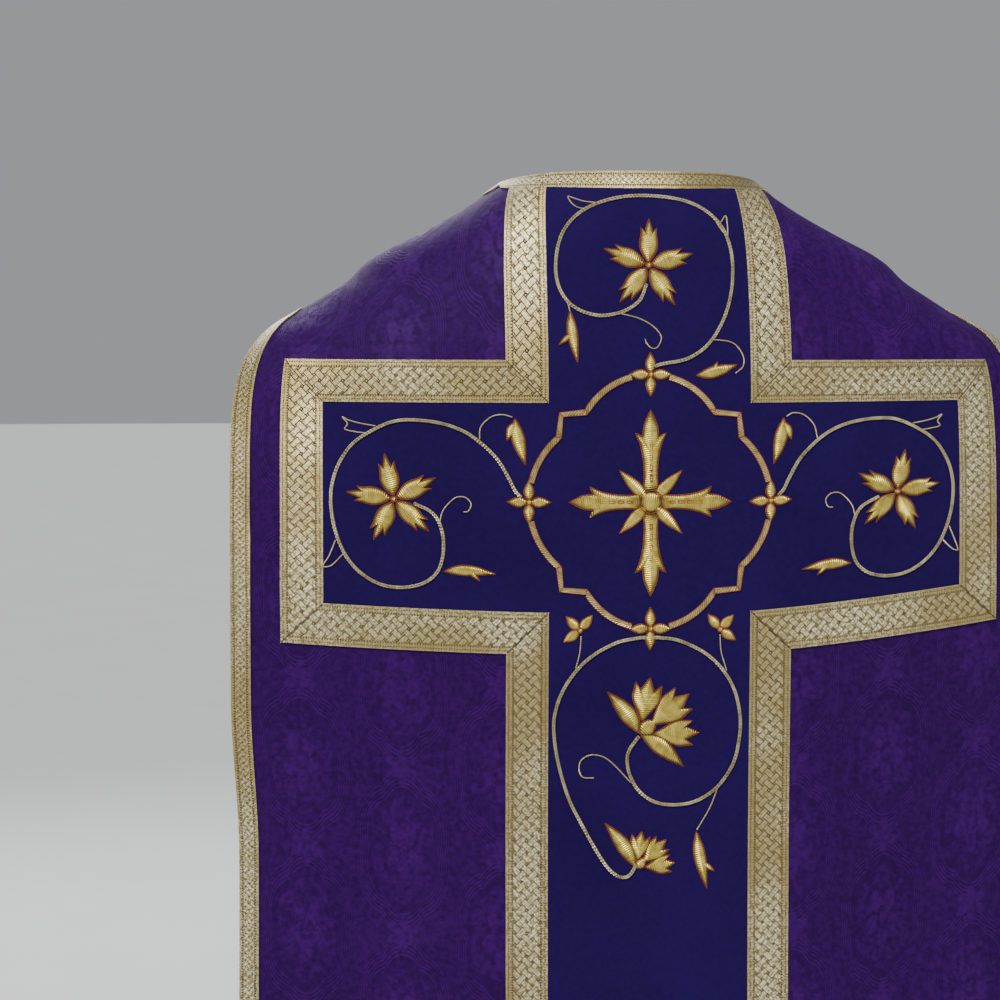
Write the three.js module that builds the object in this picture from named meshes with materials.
// Fiddleback chasuble in its worn form: a stiff back with a cross, a narrower front with a pillar.
// Millimetres, +Z up. The back faces -Y, and the origin is between the shoulders at the neck.
// "down" is the cloth's own measure from the neck, "drop" is the height below the origin.

import * as THREE from 'three';

// Cloth thickness and the layers above the damask
const PANEL_CLOTH = 2.0;
const LAYER_GAP = 0.3;
const SEAM_INSET = 0.15;
const GROUND_CLOTH = 1.0;
const GALLOON_CLOTH = 1.2;
const EMBROIDERY_GAP = 0.45;
const TRIM_BASE = PANEL_CLOTH + LAYER_GAP;
const EMBROIDERY_BASE = TRIM_BASE + GROUND_CLOTH + EMBROIDERY_GAP;

// Cut of the garment, half widths from the centre line
const GROUND_HALF = 82;
const PILLAR_HALF = 116;
const NECK_HALF = 130;
const NECK_BAND_HALF = 146;
const ARM_INNER = 261;
const ARM_HALF = 295;
const EDGE_INNER = 319;
const EDGE_HALF = 335;
const NECK_BAND = 16;
const EDGE_BAND = EDGE_HALF - EDGE_INNER;

// Heights of the cross and the hems, measured down the cloth from the neck
const ARM_TOP = 144;
const ARM_TOP_INNER = 179;
const ARM_LOW_INNER = 346;
const ARM_LOW = 381;
const BACK_HEM = 1058;
const FRONT_HEM = 965;
const CORNER_RADIUS = 70;

// How the cloth settles on a wearer
const SETTLE_LENGTH = 27;
const RISE_LEFT = 9;
const RISE_RIGHT = 22;
const RISE_POWER = 1.2;
const RISE_AT_HEM = 0.3;
const SECTION_POWER = 2.4;
const RIB_STEPS = 16;
const HALVINGS = 40;
const PROBE = 0.5;

// Half width of the body form at each drop; its upper rows are the shoulder line
const FORM = [
  { drop: -10, half: 100 }, { drop: -3, half: 107 }, { drop: 7, half: 121 },
  { drop: 22, half: 144 }, { drop: 40, half: 177 }, { drop: 58, half: 212 },
  { drop: 66, half: 223 }, { drop: 78, half: 235 }, { drop: 89, half: 252 },
  { drop: 113, half: 292 }, { drop: 121, half: 309 }, { drop: 136, half: 331 },
  { drop: 158, half: 352 }, { drop: 180, half: 366 }, { drop: 240, half: 388 },
  { drop: 400, half: 404 }, { drop: 700, half: 428 }, { drop: 1100, half: 450 },
];

// Neck edge, shoulder and side edge of each column of cloth where it starts
const COLUMN_TOPS = [
  { column: 0, half: 0 }, { column: 27, half: 24 }, { column: 54, half: 49 },
  { column: GROUND_HALF, half: 74 }, { column: PILLAR_HALF, half: 99 },
  { column: NECK_HALF, half: 107 }, { column: NECK_BAND_HALF, half: 122 },
  { column: 188, half: 160 }, { column: 225, half: 196 }, { column: ARM_INNER, half: 229 },
  { column: ARM_HALF, half: 258 }, { column: EDGE_INNER, half: 274 }, { column: EDGE_HALF, half: 289 },
];

const BACK = {
  facing: -1,
  hem: BACK_HEM,
  depths: [
    { drop: -10, depth: 77 }, { drop: 0, depth: 83 }, { drop: 50, depth: 101 },
    { drop: 100, depth: 112 }, { drop: 160, depth: 119 }, { drop: 300, depth: 122 },
    { drop: 540, depth: 116 }, { drop: 800, depth: 119 }, { drop: 1100, depth: 127 },
  ],
  neck: [
    { half: 0, drop: -8 }, { half: 60, drop: -7.5 }, { half: 90, drop: -5.5 }, { half: 107, drop: -3 },
  ],
  edges: [
    { drop: 110, half: 335 }, { drop: 420, half: 335 }, { drop: 544, half: 329 },
    { drop: 760, half: 331 }, { drop: 1060, half: 342 },
  ],
  folds: [
    { across: -232, from: 390, to: 620, width: 30, depth: 9 },
    { across: -196, from: 700, to: 1058, width: 38, depth: 13 },
    { across: 218, from: 420, to: 760, width: 34, depth: 11 },
    { across: 268, from: 640, to: 1058, width: 30, depth: 10 },
    { across: -282, from: 560, to: 1058, width: 26, depth: 8 },
  ],
};

const FRONT = {
  facing: 1,
  hem: FRONT_HEM,
  depths: [
    { drop: -10, depth: 40 }, { drop: 20, depth: 60 }, { drop: 80, depth: 88 },
    { drop: 160, depth: 110 }, { drop: 260, depth: 117 }, { drop: 420, depth: 114 },
    { drop: 700, depth: 120 }, { drop: 1100, depth: 132 },
  ],
  neck: [
    { half: 0, drop: 80 }, { half: 30, drop: 79 }, { half: 56, drop: 70 },
    { half: 80, drop: 48 }, { half: 99, drop: 16 }, { half: 107, drop: -3 },
  ],
  edges: [
    { drop: 110, half: 300 }, { drop: 160, half: 279 }, { drop: 230, half: 247 },
    { drop: 330, half: 228 }, { drop: 440, half: 232 }, { drop: 600, half: 256 },
    { drop: 800, half: 290 }, { drop: 965, half: 314 },
  ],
  folds: [
    { across: -176, from: 300, to: 965, width: 30, depth: 12 },
    { across: 168, from: 380, to: 965, width: 34, depth: 10 },
    { across: 226, from: 560, to: 965, width: 26, depth: 7 },
  ],
};

// Smooth monotone reading of a short table
function slopeAt(rows, i, key, value) {
  const before = rows[i - 1];
  const here = rows[i];
  const after = rows[i + 1];
  if (!before) return (after[value] - here[value]) / (after[key] - here[key]);
  if (!after) return (here[value] - before[value]) / (here[key] - before[key]);
  const left = (here[value] - before[value]) / (here[key] - before[key]);
  const right = (after[value] - here[value]) / (after[key] - here[key]);
  return left * right <= 0 ? 0 : (2 * left * right) / (left + right);
}

function read(rows, key, value, at) {
  const last = rows.length - 1;
  const clamped = Math.min(Math.max(at, rows[0][key]), rows[last][key]);
  let i = 0;
  while (i < last - 1 && clamped > rows[i + 1][key]) i += 1;
  const span = rows[i + 1][key] - rows[i][key];
  const t = (clamped - rows[i][key]) / span;
  const start = slopeAt(rows, i, key, value) * span;
  const end = slopeAt(rows, i + 1, key, value) * span;
  const rise = rows[i + 1][value] - rows[i][value];
  return rows[i][value] + t * (start + t * (3 * rise - 2 * start - end + t * (start + end - 2 * rise)));
}

const formHalf = (drop) => read(FORM, 'drop', 'half', drop);
const columnTop = (column) => read(COLUMN_TOPS, 'column', 'half', column);

// Height of the shoulder line at a half width, by halving the interval
function shoulderDrop(half) {
  let high = FORM[0].drop;
  let low = FORM[FORM.length - 1].drop;
  for (let i = 0; i < HALVINGS; i += 1) {
    const middle = (high + low) / 2;
    if (formHalf(middle) < half) high = middle;
    else low = middle;
  }
  return (high + low) / 2;
}

function smoothStep(from, to, value) {
  const t = Math.min(Math.max((value - from) / (to - from), 0), 1);
  return t * t * (3 - 2 * t);
}

// Depth of the cloth behind or before the shoulder line
function foldDepth(side, across, drop) {
  let total = 0;
  for (const fold of side.folds) {
    const near = (across - fold.across) / fold.width;
    total += fold.depth * Math.exp(-near * near) * smoothStep(fold.from, fold.to, drop);
  }
  return total;
}

function onForm(side, across, drop) {
  const share = Math.min(Math.abs(across) / formHalf(drop), 1);
  const round = Math.sqrt(1 - share ** SECTION_POWER);
  const depth = read(side.depths, 'drop', 'depth', drop) * round - foldDepth(side, across, drop);
  return new THREE.Vector3(across, side.facing * depth, -drop);
}

// Sideways place of a column at a drop: from its start, it settles to its own width
function topOf(side, column) {
  const half = columnTop(Math.min(column, EDGE_HALF));
  const drop = column < NECK_HALF ? read(side.neck, 'half', 'drop', half) : shoulderDrop(half);
  return { half, drop };
}

function columnHalf(side, column, drop) {
  const edge = read(side.edges, 'drop', 'half', drop);
  const spread = (edge - PILLAR_HALF) / (EDGE_HALF - PILLAR_HALF);
  const settled = column > PILLAR_HALF ? PILLAR_HALF + (column - PILLAR_HALF) * spread : column;
  const top = topOf(side, column);
  const settling = 1 - Math.exp(-Math.max(drop - top.drop, 0) / SETTLE_LENGTH);
  return top.half + (settled - top.half) * settling;
}

function rise(side, column, down) {
  if (side !== BACK || Math.abs(column) < GROUND_HALF) return 0;
  const most = column < 0 ? RISE_LEFT : RISE_RIGHT;
  const outward = (Math.abs(column) - GROUND_HALF) / (ARM_HALF - GROUND_HALF);
  const fading = 1 - (1 - RISE_AT_HEM) * smoothStep(ARM_LOW, BACK_HEM, down);
  return most * outward ** RISE_POWER * smoothStep(ARM_TOP, ARM_LOW_INNER, down) * fading;
}

// Rounded lower corners: a square of cloth beside the corner is turned into a quarter disc
function roundCorner(side, column, down) {
  const acrossCorner = (Math.abs(column) - (EDGE_HALF - CORNER_RADIUS)) / CORNER_RADIUS;
  const downCorner = (down - (side.hem - CORNER_RADIUS)) / CORNER_RADIUS;
  if (acrossCorner <= 0 || downCorner <= 0) return { column, down };
  const pull = Math.max(acrossCorner, downCorner) / Math.hypot(acrossCorner, downCorner);
  return {
    column: Math.sign(column) * (EDGE_HALF - CORNER_RADIUS + CORNER_RADIUS * acrossCorner * pull),
    down: side.hem - CORNER_RADIUS + CORNER_RADIUS * downCorner * pull,
  };
}

function atDrop(side, column, drop) {
  const half = columnHalf(side, Math.abs(column), drop);
  return onForm(side, Math.sign(column) * half, drop);
}

// The yoke, from the neck or shoulder to the top of the cross arms, is measured along the cloth
const ribs = new Map();

function rib(side, column) {
  const key = `${side.facing} ${column.toFixed(3)}`;
  if (!ribs.has(key)) {
    const start = topOf(side, Math.abs(column)).drop;
    const runs = [0];
    let last = atDrop(side, column, start);
    for (let i = 1; i <= RIB_STEPS; i += 1) {
      const point = atDrop(side, column, start + (ARM_TOP - start) * (i / RIB_STEPS) ** 2);
      runs.push(runs[i - 1] + point.distanceTo(last));
      last = point;
    }
    ribs.set(key, { start, runs });
  }
  return ribs.get(key);
}

function yokeDrop(side, column, down) {
  const { start, runs } = rib(side, column);
  const beyond = (down - NECK_BAND) / (ARM_TOP - NECK_BAND);
  const run = down <= NECK_BAND ? down : NECK_BAND + beyond * (runs[RIB_STEPS] - NECK_BAND);
  let i = 0;
  while (i < RIB_STEPS - 1 && run > runs[i + 1]) i += 1;
  const share = (i + (run - runs[i]) / (runs[i + 1] - runs[i])) / RIB_STEPS;
  return start + (ARM_TOP - start) * share ** 2;
}

function clothPoint(side, column, down) {
  if (down < ARM_TOP) return atDrop(side, column, yokeDrop(side, column, down));
  const corner = roundCorner(side, column, down);
  const drop = corner.down - rise(side, corner.column, corner.down);
  return atDrop(side, corner.column, drop);
}

function clothNormal(side, column, down) {
  const outer = Math.min(column + PROBE, EDGE_HALF);
  const inner = Math.max(outer - 2 * PROBE, -EDGE_HALF);
  const upper = Math.max(down - PROBE, 0);
  const alongColumn = clothPoint(side, outer, down).sub(clothPoint(side, inner, down));
  const alongDown = clothPoint(side, column, down + PROBE).sub(clothPoint(side, column, upper));
  const normal = alongDown.cross(alongColumn).multiplyScalar(-side.facing);
  if (Math.abs(column) >= NECK_HALF - PROBE && down < PROBE) normal.y = 0;
  return normal.normalize();
}

// One closed solid from vertices and triangles
const garment = new THREE.Group();

function addPiece(name, vertices, triangles, material) {
  const geometry = new THREE.BufferGeometry();
  geometry.setAttribute('position', new THREE.Float32BufferAttribute(vertices.flatMap((v) => v.toArray()), 3));
  geometry.setIndex(triangles.flat());
  geometry.computeVertexNormals();
  const mesh = new THREE.Mesh(geometry, material);
  mesh.name = name;
  garment.add(mesh);
}

// A wall of cloth over the cells of a grid that a rule keeps
function clothWall(side, columns, downs, keep, base, thickness, isCutOff = () => false) {
  const kept = (i, j) => i >= 0 && j >= 0 && i < columns.length - 1 && j < downs.length - 1
    && keep((columns[i] + columns[i + 1]) / 2, (downs[j] + downs[j + 1]) / 2);
  const vertices = [];
  const numbers = new Map();
  const number = (i, j) => {
    const key = i * downs.length + j;
    if (!numbers.has(key)) {
      let leanAcross = 0;
      let leanDown = 0;
      for (const [di, dj] of [[0, 0], [-1, 0], [0, -1], [-1, -1]]) {
        if (kept(i + di, j + dj)) {
          leanAcross += di === 0 ? 1 : -1;
          leanDown += dj === 0 ? 1 : -1;
        }
      }
      const column = columns[i] + Math.sign(leanAcross) * SEAM_INSET;
      const down = downs[j] + Math.sign(leanDown) * SEAM_INSET;
      const point = clothPoint(side, column, down);
      const normal = clothNormal(side, column, down);
      numbers.set(key, vertices.length);
      vertices.push(point.clone().addScaledVector(normal, base + thickness));
      vertices.push(point.clone().addScaledVector(normal, base));
    }
    return numbers.get(key);
  };
  const cells = [];
  for (let i = 0; i < columns.length - 1; i += 1) {
    for (let j = 0; j < downs.length - 1; j += 1) {
      const corners = [[i, j], [i, j + 1], [i + 1, j + 1], [i + 1, j]];
      if (columns[i] >= 0) corners.push(corners.shift());
      const used = corners.filter(([k, l]) => !isCutOff(columns[k], downs[l]));
      if (kept(i, j)) cells.push(used.map(([k, l]) => number(k, l)));
    }
  }
  const edges = new Set();
  for (const cell of cells) cell.forEach((a, k) => edges.add(`${a} ${cell[(k + 1) % cell.length]}`));
  const triangles = [];
  const face = (corners, outwards) => {
    for (let k = 1; k < corners.length - 1; k += 1) {
      const triangle = [corners[0], corners[k], corners[k + 1]];
      triangles.push(outwards === (side.facing < 0) ? triangle : triangle.reverse());
    }
  };
  for (const cell of cells) {
    face(cell, true);
    face(cell.map((a) => a + 1), false);
    cell.forEach((a, k) => {
      const b = cell[(k + 1) % cell.length];
      if (!edges.has(`${b} ${a}`)) face([a, a + 1, b + 1, b], true);
    });
  }
  return { vertices, triangles };
}

// Grid lines that the panels and everything sewn on them share
const HALF_COLUMNS = COLUMN_TOPS.map((row) => row.column);
const COLUMNS = [...HALF_COLUMNS.slice(1).reverse().map((c) => -c), ...HALF_COLUMNS];
const YOKE_DOWNS = [0, NECK_BAND, 48, 80, 112];
const ARM_DOWNS = [ARM_TOP, ARM_TOP_INNER, 221, 263, 304, ARM_LOW_INNER, ARM_LOW];
const BODY_STEP = 78;

function hemDowns(side, start) {
  const cornerTop = side.hem - CORNER_RADIUS;
  const steps = Math.round((cornerTop - start) / BODY_STEP);
  const downs = [];
  for (let i = 1; i <= steps; i += 1) downs.push(start + ((cornerTop - start) * i) / steps);
  const armShare = (ARM_HALF - ARM_INNER) / CORNER_RADIUS;
  return [...downs, cornerTop + armShare * CORNER_RADIUS, side.hem - EDGE_BAND, side.hem];
}

const BACK_DOWNS = [...YOKE_DOWNS, ...ARM_DOWNS, ...hemDowns(BACK, ARM_LOW)];
const FRONT_DOWNS = [...YOKE_DOWNS, ARM_TOP, 210, 276, ...hemDowns(FRONT, 342)];

// Finishes
const finish = (color, roughness, metalness) => new THREE.MeshStandardMaterial({ color, roughness, metalness });
const damask = () => finish(0x3a1870, 0.62, 0);
const indigo = () => finish(0x1c1650, 0.85, 0);
const goldGalloon = () => finish(0xb3a26c, 0.42, 0.55);
const goldSatin = () => finish(0xc2a44e, 0.4, 0.35);
const goldCord = () => finish(0x9f9166, 0.5, 0.45);

const all = () => true;
const within = (value, low, high) => value > low && value < high;

function addWall(name, side, downs, keep, base, thickness, material, isCutOff) {
  const wall = clothWall(side, COLUMNS, downs, keep, base, thickness, isCutOff);
  addPiece(name, wall.vertices, wall.triangles, material);
}

// Damask front and back
addWall('back_panel', BACK, BACK_DOWNS, all, 0, PANEL_CLOTH, damask());
addWall('front_panel', FRONT, FRONT_DOWNS, all, 0, PANEL_CLOTH, damask());

// Narrow galloon round the neck and all round the edge
const inNeckBand = (column, down) => Math.abs(column) < NECK_BAND_HALF && down < NECK_BAND;
const isBandCorner = (column, down) => Math.abs(column) >= NECK_BAND_HALF && down > 0;
const inEdgeBand = (side) => (column, down) => Math.abs(column) > EDGE_INNER || down > side.hem - EDGE_BAND;
for (const [label, side, downs] of [['back', BACK, BACK_DOWNS], ['front', FRONT, FRONT_DOWNS]]) {
  addWall(`neck_galloon_${label}`, side, downs, inNeckBand, TRIM_BASE, GALLOON_CLOTH, goldGalloon(), isBandCorner);
  addWall(`edge_galloon_${label}`, side, downs, inEdgeBand(side), TRIM_BASE, GALLOON_CLOTH, goldGalloon());
}

// The cross on the back: its plain ground, and one run of wide galloon down each side of it
const belowNeck = (side, down) => within(down, NECK_BAND, side.hem - EDGE_BAND);
const inCross = (half, top, low, armEnd) => (column, down) => belowNeck(BACK, down)
  && (Math.abs(column) < half || (Math.abs(column) < armEnd && within(down, top, low)));
const inGround = inCross(GROUND_HALF, ARM_TOP_INNER, ARM_LOW_INNER, ARM_INNER);
const inWholeCross = inCross(PILLAR_HALF, ARM_TOP, ARM_LOW, ARM_HALF);
addWall('cross_ground', BACK, BACK_DOWNS, inGround, TRIM_BASE, GROUND_CLOTH, indigo());

// The pillar on the front
const inFrontGround = (column, down) => belowNeck(FRONT, down) && Math.abs(column) < GROUND_HALF;
const inFrontPillar = (column, down) => belowNeck(FRONT, down) && Math.abs(column) < PILLAR_HALF;
addWall('front_pillar_ground', FRONT, FRONT_DOWNS, inFrontGround, TRIM_BASE, GROUND_CLOTH, indigo());

for (const [label, sign] of [['left', -1], ['right', 1]]) {
  const onSide = (column) => Math.sign(column) === sign;
  const backRun = (column, down) => onSide(column) && inWholeCross(column, down) && !inGround(column, down);
  const frontRun = (column, down) => onSide(column) && inFrontPillar(column, down) && !inFrontGround(column, down);
  addWall(`cross_galloon_${label}`, BACK, BACK_DOWNS, backRun, TRIM_BASE, GALLOON_CLOTH, goldGalloon());
  addWall(`pillar_galloon_${label}`, FRONT, FRONT_DOWNS, frontRun, TRIM_BASE, GALLOON_CLOTH, goldGalloon());
}

// Embroidery stands on the cross ground, placed by its distance across and down the cloth
function stitched(across, down, height) {
  const place = (x, y) => onForm(BACK, x, y - rise(BACK, x, y));
  const point = place(across, down);
  const alongAcross = place(across + PROBE, down).sub(point);
  const alongDown = place(across, down + PROBE).sub(point);
  const normal = alongDown.cross(alongAcross).normalize();
  return point.addScaledVector(normal, EMBROIDERY_BASE + height);
}

const radians = (degrees) => (degrees * Math.PI) / 180;

// A padded satin motif: petals round a centre, each raised along its own middle
const TOOTHED_PETAL = [
  { turn: 0.83, reach: 0.24 }, { turn: 0.62, reach: 0.46 }, { turn: 0.49, reach: 0.66 },
  { turn: 0.43, reach: 0.82 }, { turn: 0.25, reach: 0.74 },
];
const PLAIN_PETAL = [{ turn: 0.66, reach: 0.5 }, { turn: 0.3, reach: 0.8 }];
const BARBED_PETAL = [
  { turn: 0.5, reach: 0.24 }, { turn: 0.36, reach: 0.48 }, { turn: 0.335, reach: 0.62 },
  { turn: 0.32, reach: 0.77 }, { turn: 0.2, reach: 0.7 }, { turn: 0.15, reach: 0.82 },
];
const RIDGE_SHARE = 0.4;
const RIDGE_REACH = 0.9;
const WALL_SHARE = 0.4;

function petalOutline(petals, notch) {
  const outline = [];
  petals.forEach((petal, index) => {
    const next = petals[(index + 1) % petals.length];
    const row = (turn, reach) => ({
      angle: radians(petal.toward - petal.spread * turn),
      ridge: radians(petal.toward - petal.spread * turn * RIDGE_SHARE),
      reach: petal.reach * reach,
      high: true,
    });
    [...petal.shape].forEach((mark) => outline.push(row(-mark.turn, mark.reach)));
    outline.push(row(0, 1));
    [...petal.shape].reverse().forEach((mark) => outline.push(row(mark.turn, mark.reach)));
    const turnToNext = (((petal.toward - next.toward) % 360) + 360) % 360 || 360;
    const between = radians(petal.toward - turnToNext * (petal.spread / (petal.spread + next.spread)));
    outline.push({ angle: between, ridge: between, reach: notch, high: false });
  });
  return outline;
}

function addMotif(name, across, down, petals, notch, height) {
  const outline = petalOutline(petals, notch);
  const place = (angle, reach, lift) => stitched(
    across + Math.cos(angle) * reach, down - Math.sin(angle) * reach, lift);
  const rings = [
    outline.map((p) => place(p.angle, p.reach * 0.5, 0)),
    outline.map((p) => place(p.angle, p.reach, 0)),
    outline.map((p) => place(p.angle, p.reach, height * WALL_SHARE)),
    outline.map((p) => place(p.ridge, p.reach * (p.high ? RIDGE_REACH : 1) * 0.9, height * (p.high ? 1 : 0.6))),
  ];
  const vertices = [place(0, 0, 0), ...rings.flat(), place(0, 0, height)];
  const count = outline.length;
  const triangles = [];
  for (let i = 0; i < count; i += 1) {
    const j = (i + 1) % count;
    triangles.push([0, 1 + j, 1 + i]);
    for (let ring = 0; ring < rings.length - 1; ring += 1) {
      const [low, high] = [1 + ring * count, 1 + (ring + 1) * count];
      triangles.push([low + i, low + j, high + j], [low + i, high + j, high + i]);
    }
    const top = 1 + (rings.length - 1) * count;
    triangles.push([top + i, top + j, vertices.length - 1]);
  }
  addPiece(name, vertices, triangles.map(([a, b, c]) => [a, c, b]), goldSatin());
}

const even = (count, start, reach, spread, shape) => Array.from({ length: count }, (_, i) => (
  { toward: start - (360 / count) * i, reach, spread, shape }));

// Flowers
const FLOWER_REACH = 38;
const FLOWER_HEIGHT = 2.4;
const FLOWERS = [
  { name: 'flower_top', across: 0, down: 69, start: 87 },
  { name: 'flower_left', across: -205, down: 258, start: 101 },
  { name: 'flower_right', across: 205, down: 258, start: 79 },
];
for (const flower of FLOWERS) {
  const petals = even(5, flower.start, FLOWER_REACH, 36, TOOTHED_PETAL);
  addMotif(flower.name, flower.across, flower.down, petals, 5, FLOWER_HEIGHT);
}

const LOTUS_OPEN = [
  { toward: 124, reach: 39, spread: 12, shape: PLAIN_PETAL },
  { toward: 80, reach: 47, spread: 23, shape: TOOTHED_PETAL },
  { toward: 38, reach: 52, spread: 20, shape: TOOTHED_PETAL },
  { toward: 1, reach: 48, spread: 19, shape: TOOTHED_PETAL },
  { toward: -38, reach: 42, spread: 14, shape: PLAIN_PETAL },
  { toward: -128, reach: 11, spread: 50, shape: PLAIN_PETAL },
];
const LOTUS_HALF_OPEN = [
  { toward: 117, reach: 45, spread: 14, shape: PLAIN_PETAL },
  { toward: 82, reach: 30, spread: 18, shape: TOOTHED_PETAL },
  { toward: 44, reach: 33, spread: 18, shape: TOOTHED_PETAL },
  { toward: 6, reach: 32, spread: 16, shape: PLAIN_PETAL },
  { toward: -120, reach: 11, spread: 50, shape: PLAIN_PETAL },
];
const LOTUS_NOTCH = 11;
addMotif('lotus_open', -8, 446, LOTUS_OPEN, LOTUS_NOTCH, FLOWER_HEIGHT);
addMotif('lotus_half_open', -10, 556, LOTUS_HALF_OPEN, LOTUS_NOTCH, FLOWER_HEIGHT);

// Crosslets, and the floriated cross in the middle of the medallion
const MEDALLION_DOWN = 258;
const MEDALLION_HALF = 98;
const MEDALLION_HIGH = 102;
const CROSSLET_REACH = 17.5;
const CROSSLETS = [
  { name: 'crosslet_top', across: 0, down: MEDALLION_DOWN - MEDALLION_HIGH },
  { name: 'crosslet_left', across: -MEDALLION_HALF, down: MEDALLION_DOWN },
  { name: 'crosslet_right', across: MEDALLION_HALF, down: MEDALLION_DOWN },
  { name: 'crosslet_low', across: 0, down: MEDALLION_DOWN + MEDALLION_HIGH },
];
for (const crosslet of CROSSLETS) {
  const petals = even(4, 90, CROSSLET_REACH, 30, PLAIN_PETAL);
  addMotif(crosslet.name, crosslet.across, crosslet.down, petals, 3, 1.8);
}
const FLORIATED_CROSS = [
  { toward: 90, reach: 74, spread: 38, shape: BARBED_PETAL },
  { toward: 45, reach: 34, spread: 12, shape: PLAIN_PETAL },
  { toward: 0, reach: 66, spread: 38, shape: BARBED_PETAL },
  { toward: -45, reach: 34, spread: 12, shape: PLAIN_PETAL },
  { toward: -90, reach: 76, spread: 38, shape: BARBED_PETAL },
  { toward: -135, reach: 34, spread: 12, shape: PLAIN_PETAL },
  { toward: 180, reach: 66, spread: 38, shape: BARBED_PETAL },
  { toward: 135, reach: 34, spread: 12, shape: PLAIN_PETAL },
];
addMotif('floriated_cross', 0, MEDALLION_DOWN, FLORIATED_CROSS, 13, 2.6);

// Buds, leaves and three-petalled sprigs
const leaf = (toward, reach, spread) => ({ toward, reach, spread, shape: PLAIN_PETAL });
const SPRAYS = [
  { name: 'bud_top', across: -61, down: 124, petals: [leaf(100, 20, 12), leaf(-84, 23, 26), leaf(-142, 13, 22)] },
  { name: 'leaf_top', across: 54, down: 155, petals: [leaf(72, 8, 26), leaf(10, 17, 30), leaf(186, 18, 30)] },
  { name: 'leaf_left_upper', across: -108, down: 205, petals: [leaf(96, 15, 26), leaf(-82, 24, 28), leaf(160, 9, 24)] },
  { name: 'leaf_right_upper', across: 108, down: 205, petals: [leaf(84, 15, 26), leaf(20, 9, 24), leaf(-98, 24, 28)] },
  { name: 'leaf_left_lower', across: -152, down: 313, petals: [leaf(178, 14, 16), leaf(-3, 26, 22), leaf(-48, 13, 22)] },
  { name: 'leaf_right_lower', across: 152, down: 313, petals: [leaf(2, 14, 16), leaf(-132, 13, 22), leaf(183, 26, 22)] },
  { name: 'sprig_left', across: -57, down: 361, petals: [leaf(134, 16, 30), leaf(51, 16, 30), leaf(-145, 16, 30)] },
  { name: 'sprig_right', across: 57, down: 361, petals: [leaf(129, 16, 30), leaf(46, 16, 30), leaf(-35, 16, 30)] },
  { name: 'bud_lower', across: 42, down: 552, petals: [leaf(96, 27, 16), leaf(-34, 12, 22), leaf(-85, 22, 26)] },
];
for (const spray of SPRAYS) addMotif(spray.name, spray.across, spray.down, spray.petals, 3.2, 1.7);

// Flat bands and couched cords that follow a route over the ground
function addBand(name, route, width, crown, height, material) {
  const vertices = [];
  const triangles = [];
  route.forEach((here, i) => {
    const before = route[Math.max(i - 1, 0)];
    const after = route[Math.min(i + 1, route.length - 1)];
    const along = new THREE.Vector2(after.across - before.across, after.down - before.down).normalize();
    for (const [offset, lift] of [[-width, 0], [width, 0], [crown, height], [-crown, height]]) {
      const across = here.across - (along.y * offset) / 2;
      const down = here.down + (along.x * offset) / 2;
      vertices.push(stitched(across, down, lift));
    }
  });
  for (let i = 0; i < route.length - 1; i += 1) {
    for (let k = 0; k < 4; k += 1) {
      const [a, b] = [i * 4 + k, i * 4 + ((k + 1) % 4)];
      triangles.push([a, b + 4, b], [a, a + 4, b + 4]);
    }
  }
  const end = (route.length - 1) * 4;
  triangles.push([0, 1, 2], [0, 2, 3], [end, end + 2, end + 1], [end, end + 3, end + 2]);
  addPiece(name, vertices, triangles, material);
}

// A quarter of the medallion's frame: lobe, step, step, lobe
const FRAME_WIDTH = 5.2;
const FRAME_HEIGHT = 1.2;
const FRAME_CORNER = 72;
const FRAME_NOTCH = 52;
const FRAME_STEPS = 6;
const CROSSLET_CLEAR = 19.5;

function lobe(crest, notchAlong, notchOut, start) {
  const bulge = crest - notchOut;
  const radius = (notchAlong ** 2 + bulge ** 2) / (2 * bulge);
  const first = Math.asin(start / radius);
  const last = Math.asin(notchAlong / radius);
  return Array.from({ length: FRAME_STEPS + 1 }, (_, i) => {
    const angle = first + ((last - first) * i) / FRAME_STEPS;
    return { along: radius * Math.sin(angle), out: crest - radius + radius * Math.cos(angle) };
  });
}

const upperLobe = lobe(MEDALLION_HIGH, FRAME_NOTCH, FRAME_CORNER, CROSSLET_CLEAR);
const sideLobe = lobe(MEDALLION_HALF, FRAME_NOTCH, FRAME_CORNER + 2, CROSSLET_CLEAR);
const FRAME_QUARTER = [
  ...upperLobe.map((p) => ({ x: p.along, y: p.out })),
  { x: FRAME_CORNER, y: FRAME_CORNER - 2 },
  ...sideLobe.map((p) => ({ x: p.out, y: p.along })).reverse(),
];
const QUARTERS = [
  { name: 'upper_left', x: -1, y: -1 }, { name: 'upper_right', x: 1, y: -1 },
  { name: 'lower_left', x: -1, y: 1 }, { name: 'lower_right', x: 1, y: 1 },
];
for (const quarter of QUARTERS) {
  const route = FRAME_QUARTER.map((p) => (
    { across: quarter.x * p.x, down: MEDALLION_DOWN + quarter.y * p.y }));
  addBand(`medallion_frame_${quarter.name}`, route, FRAME_WIDTH, FRAME_WIDTH * 0.7, FRAME_HEIGHT, goldSatin());
}

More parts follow.
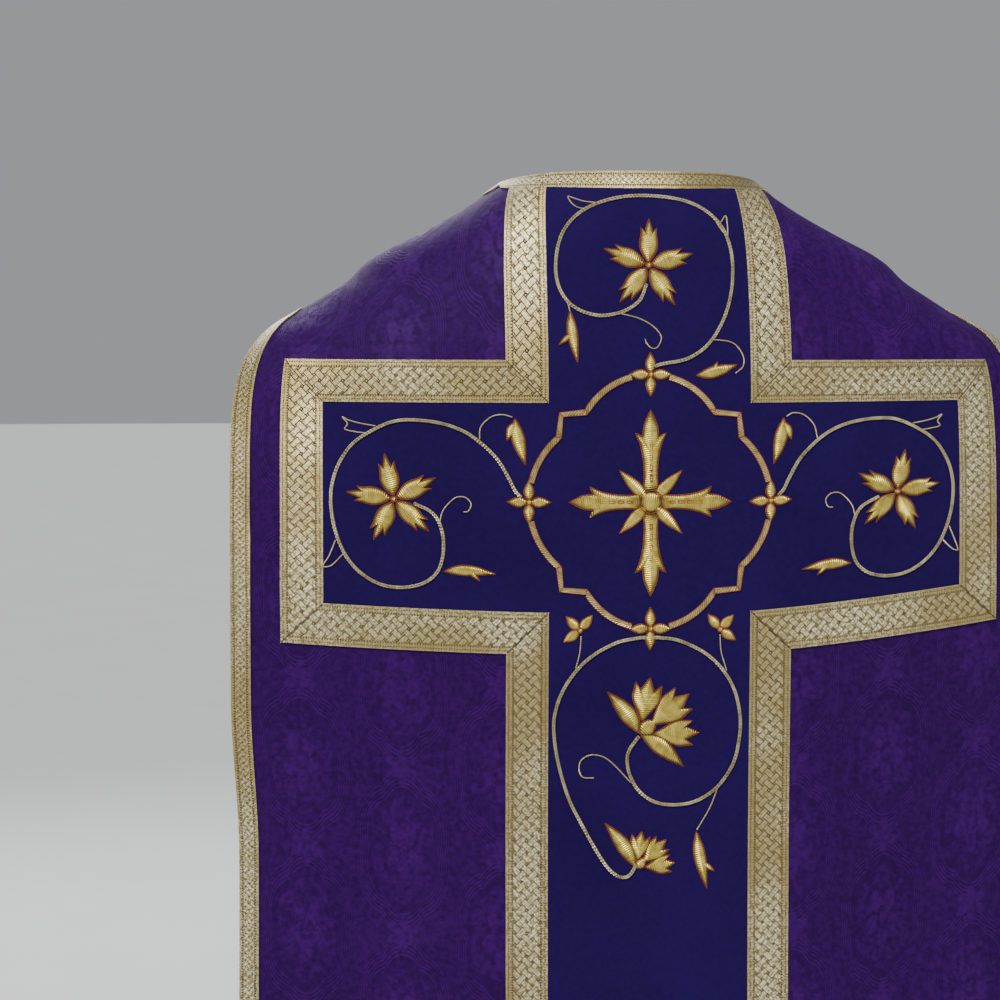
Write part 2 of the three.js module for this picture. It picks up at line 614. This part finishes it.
// Scrolling stems, each a smooth line through hand-placed points
const STEM_WIDTH = 3.2;
const STEM_HEIGHT = 1.4;
const STEM_STEP = 10;
const ARM_STEM = [
  [109, 250], [114, 239], [123, 224], [136, 211], [149, 202], [165, 196], [185, 193], [204, 194],
  [222, 202], [238, 214], [249, 232], [254, 251], [254, 270], [250, 290], [242, 308], [230, 321],
  [214, 329], [196, 330], [180, 325], [170, 315], [166, 300], [167, 283], [174, 269], [189, 261],
].map(([across, down]) => ({ across, down }));
const STEMS = [
  {
    name: 'stem_top',
    points: [
      [8, 148], [31, 143], [48, 131], [61, 110], [68, 84], [68, 56], [59, 34], [39, 19], [11, 13],
      [-21, 14], [-49, 24], [-67, 42], [-74, 66], [-72, 87], [-61, 102], [-42, 109], [-22, 106],
      [-8, 97], [-2, 84],
    ].map(([across, down]) => ({ across, down })),
  },
  { name: 'stem_right', points: ARM_STEM },
  { name: 'stem_left', points: ARM_STEM.map((p) => ({ across: -p.across, down: p.down })) },
  {
    name: 'stem_lower_right',
    points: [
      [8, 368], [24, 370], [43, 379], [58, 392], [69, 410], [74, 430], [74, 449], [69, 471],
      [56, 490], [39, 501], [21, 504], [4, 501], [-9, 491], [-16, 478], [-18, 466], [-16, 460],
    ].map(([across, down]) => ({ across, down })),
  },
  {
    name: 'stem_lower_left',
    points: [
      [-8, 368], [-27, 371], [-46, 381], [-60, 394], [-71, 411], [-77, 430], [-77, 449], [-73, 472],
      [-65, 498], [-54, 520], [-43, 540], [-33, 556], [-23, 566],
    ].map(([across, down]) => ({ across, down })),
  },
];

function smoothRoute(points) {
  const curve = new THREE.CatmullRomCurve3(points.map((p) => new THREE.Vector3(p.across, p.down, 0)));
  const steps = Math.round(curve.getLength() / STEM_STEP);
  return curve.getSpacedPoints(steps).map((p) => ({ across: p.x, down: p.y }));
}

for (const stem of STEMS) {
  addBand(stem.name, smoothRoute(stem.points), STEM_WIDTH, STEM_WIDTH / 2, STEM_HEIGHT, goldCord());
}

export default garment;
